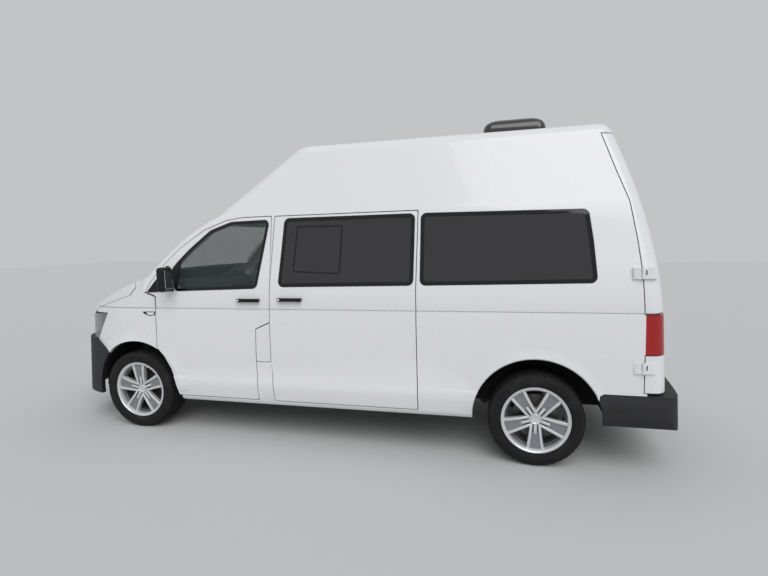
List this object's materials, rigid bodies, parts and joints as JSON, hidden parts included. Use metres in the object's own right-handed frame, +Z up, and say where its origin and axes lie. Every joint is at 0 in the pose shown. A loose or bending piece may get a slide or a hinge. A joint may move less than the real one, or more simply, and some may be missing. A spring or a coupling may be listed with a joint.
{
  "type": "panel van",
  "caption": "High-roof long-wheelbase panel van with side windows, hinged cab and rear wing doors, sliding side door, bonnet, fuel flap, steering front wheels and rolling wheels.",
  "frame": {"origin": "on the ground, at the middle of the overall box and on the centre plane", "axes": "+X forwards, +Y to the van's left, +Z up"},
  "size_m": [5.2857, 2.19, 2.6059],
  "materials": {
    "white_paint": "gloss white paint",
    "grey_plastic": "grained, unpainted",
    "black_plastic": "satin black",
    "smoked_plastic": "smoked, glossy",
    "clear_glass": "clear, faint green",
    "dark_glass": "dark tinted",
    "lamp_lens": "clear lens over silver bowls",
    "red_lens": "red lens",
    "tyre_rubber": "matt rubber",
    "wheel_alloy": "silver painted cast alloy",
    "brake_iron": "turned iron",
    "seat_cloth": "dark woven cloth",
    "dash_plastic": "dark grained plastic",
    "engine_metal": "plain cast metal",
    "exhaust_steel": "dull steel",
    "chassis_paint": "black chassis paint",
    "underbody_paint": "sealed grey paint"
  },
  "bodies": {
    "body": {"cab_frame": "white_paint", "cab_seats": "seat_cloth", "cowl": "black_plastic", "dashboard": "dash_plastic", "engine_block": "engine_metal", "exhaust": "exhaust_steel", "floor_pan": "underbody_paint", "front_bumper": "grey_plastic", "front_suspension": "chassis_paint", "front_wings": "white_paint", "fuel_tank": "black_plastic", "grille": "black_plastic", "headlamps": "lamp_lens", "high_roof": "white_paint", "rear_bumper": "grey_plastic", "rear_suspension": "chassis_paint", "roof_vent": "smoked_plastic", "seat_bases": "chassis_paint", "side_panel_left": "white_paint", "side_panel_right": "white_paint", "side_windows": "dark_glass", "sliding_door": "white_paint", "spare_wheel": "tyre_rubber", "tail_lamps": "red_lens", "windscreen": "clear_glass"},
    "bonnet": {"bonnet": "white_paint"},
    "fuel_flap": {"fuel_flap": "white_paint"},
    "steering_wheel": {"steering_wheel": "black_plastic"},
    "knuckle_left": {"knuckle_left": "chassis_paint"},
    "knuckle_right": {"knuckle_right": "chassis_paint"},
    "cab_door_left": {"cab_door_left": "white_paint", "cab_window_left": "clear_glass", "door_mirror_left": "black_plastic"},
    "rear_door_left": {"rear_door_left": "white_paint", "rear_window_left": "dark_glass"},
    "wheel_front_left": {"wheel_front_left": "wheel_alloy", "tyre_front_left": "tyre_rubber", "disc_front_left": "brake_iron"},
    "wheel_rear_left": {"wheel_rear_left": "wheel_alloy", "tyre_rear_left": "tyre_rubber", "disc_rear_left": "brake_iron"},
    "cab_door_right": {"cab_door_right": "white_paint", "cab_window_right": "clear_glass", "door_mirror_right": "black_plastic"},
    "rear_door_right": {"rear_door_right": "white_paint", "rear_window_right": "dark_glass"},
    "wheel_front_right": {"wheel_front_right": "wheel_alloy", "tyre_front_right": "tyre_rubber", "disc_front_right": "brake_iron"},
    "wheel_rear_right": {"wheel_rear_right": "wheel_alloy", "tyre_rear_right": "tyre_rubber", "disc_rear_right": "brake_iron"}
  },
  "joints": [
    {"name": "steer_left", "type": "hinge", "parent": "body", "child": "knuckle_left", "pos_m": [1.744, 0.742, 0.215], "axis": [-0.0071, -0.1337, 0.991], "range_deg": [-35, 35]},
    {"name": "steer_right", "type": "hinge", "parent": "body", "child": "knuckle_right", "pos_m": [1.744, -0.742, 0.215], "axis": [-0.0071, 0.1337, 0.991], "range_deg": [-35, 35]},
    {"name": "roll_front_left", "type": "hinge", "parent": "knuckle_left", "child": "wheel_front_left", "pos_m": [1.744, 0.814, 0.343], "axis": [0, 1, 0], "continuous": true},
    {"name": "roll_front_right", "type": "hinge", "parent": "knuckle_right", "child": "wheel_front_right", "pos_m": [1.744, -0.814, 0.343], "axis": [0, 1, 0], "continuous": true},
    {"name": "roll_rear_left", "type": "hinge", "parent": "body", "child": "wheel_rear_left", "pos_m": [-1.656, 0.814, 0.343], "axis": [0, 1, 0], "continuous": true},
    {"name": "roll_rear_right", "type": "hinge", "parent": "body", "child": "wheel_rear_right", "pos_m": [-1.656, -0.814, 0.343], "axis": [0, 1, 0], "continuous": true},
    {"name": "cab_door_left", "type": "hinge", "parent": "body", "child": "cab_door_left", "pos_m": [1.55478, 0.906, 0.94065], "axis": [-0.0157, 0, -0.9999], "range_deg": [0, 65]},
    {"name": "cab_door_right", "type": "hinge", "parent": "body", "child": "cab_door_right", "pos_m": [1.55478, -0.906, 0.94065], "axis": [0.0157, 0, 0.9999], "range_deg": [0, 65]},
    {"name": "rear_door_left", "type": "hinge", "parent": "body", "child": "rear_door_left", "pos_m": [-2.3453, 0.955, 0.77489], "axis": [-0.0327, 0.0372, -0.9988], "range_deg": [0, 180]},
    {"name": "rear_door_right", "type": "hinge", "parent": "body", "child": "rear_door_right", "pos_m": [-2.3453, -0.955, 0.77489], "axis": [0.0327, 0.0372, 0.9988], "range_deg": [0, 180]},
    {"name": "bonnet_hinge", "type": "hinge", "parent": "body", "child": "bonnet", "pos_m": [1.70173, 0, 1.31839], "axis": [0, -1, 0], "range_deg": [0, 45]},
    {"name": "fuel_flap_hinge", "type": "hinge", "parent": "body", "child": "fuel_flap", "pos_m": [0.43646, 0.9395, 0.83321], "axis": [0.0157, 0, 0.9999], "range_deg": [0, 90]},
    {"name": "steering_wheel_turn", "type": "hinge", "parent": "body", "child": "steering_wheel", "pos_m": [1.15209, -0.43, 1.21771], "axis": [-0.8755, 0, 0.4833], "range_deg": [-550, 550]}
  ],
  "couplings": [
    {"joint": "steer_right", "follows": "steer_left", "ratio": 1},
    {"joint": "steering_wheel_turn", "follows": "steer_left", "ratio": 15.5}
  ]
}
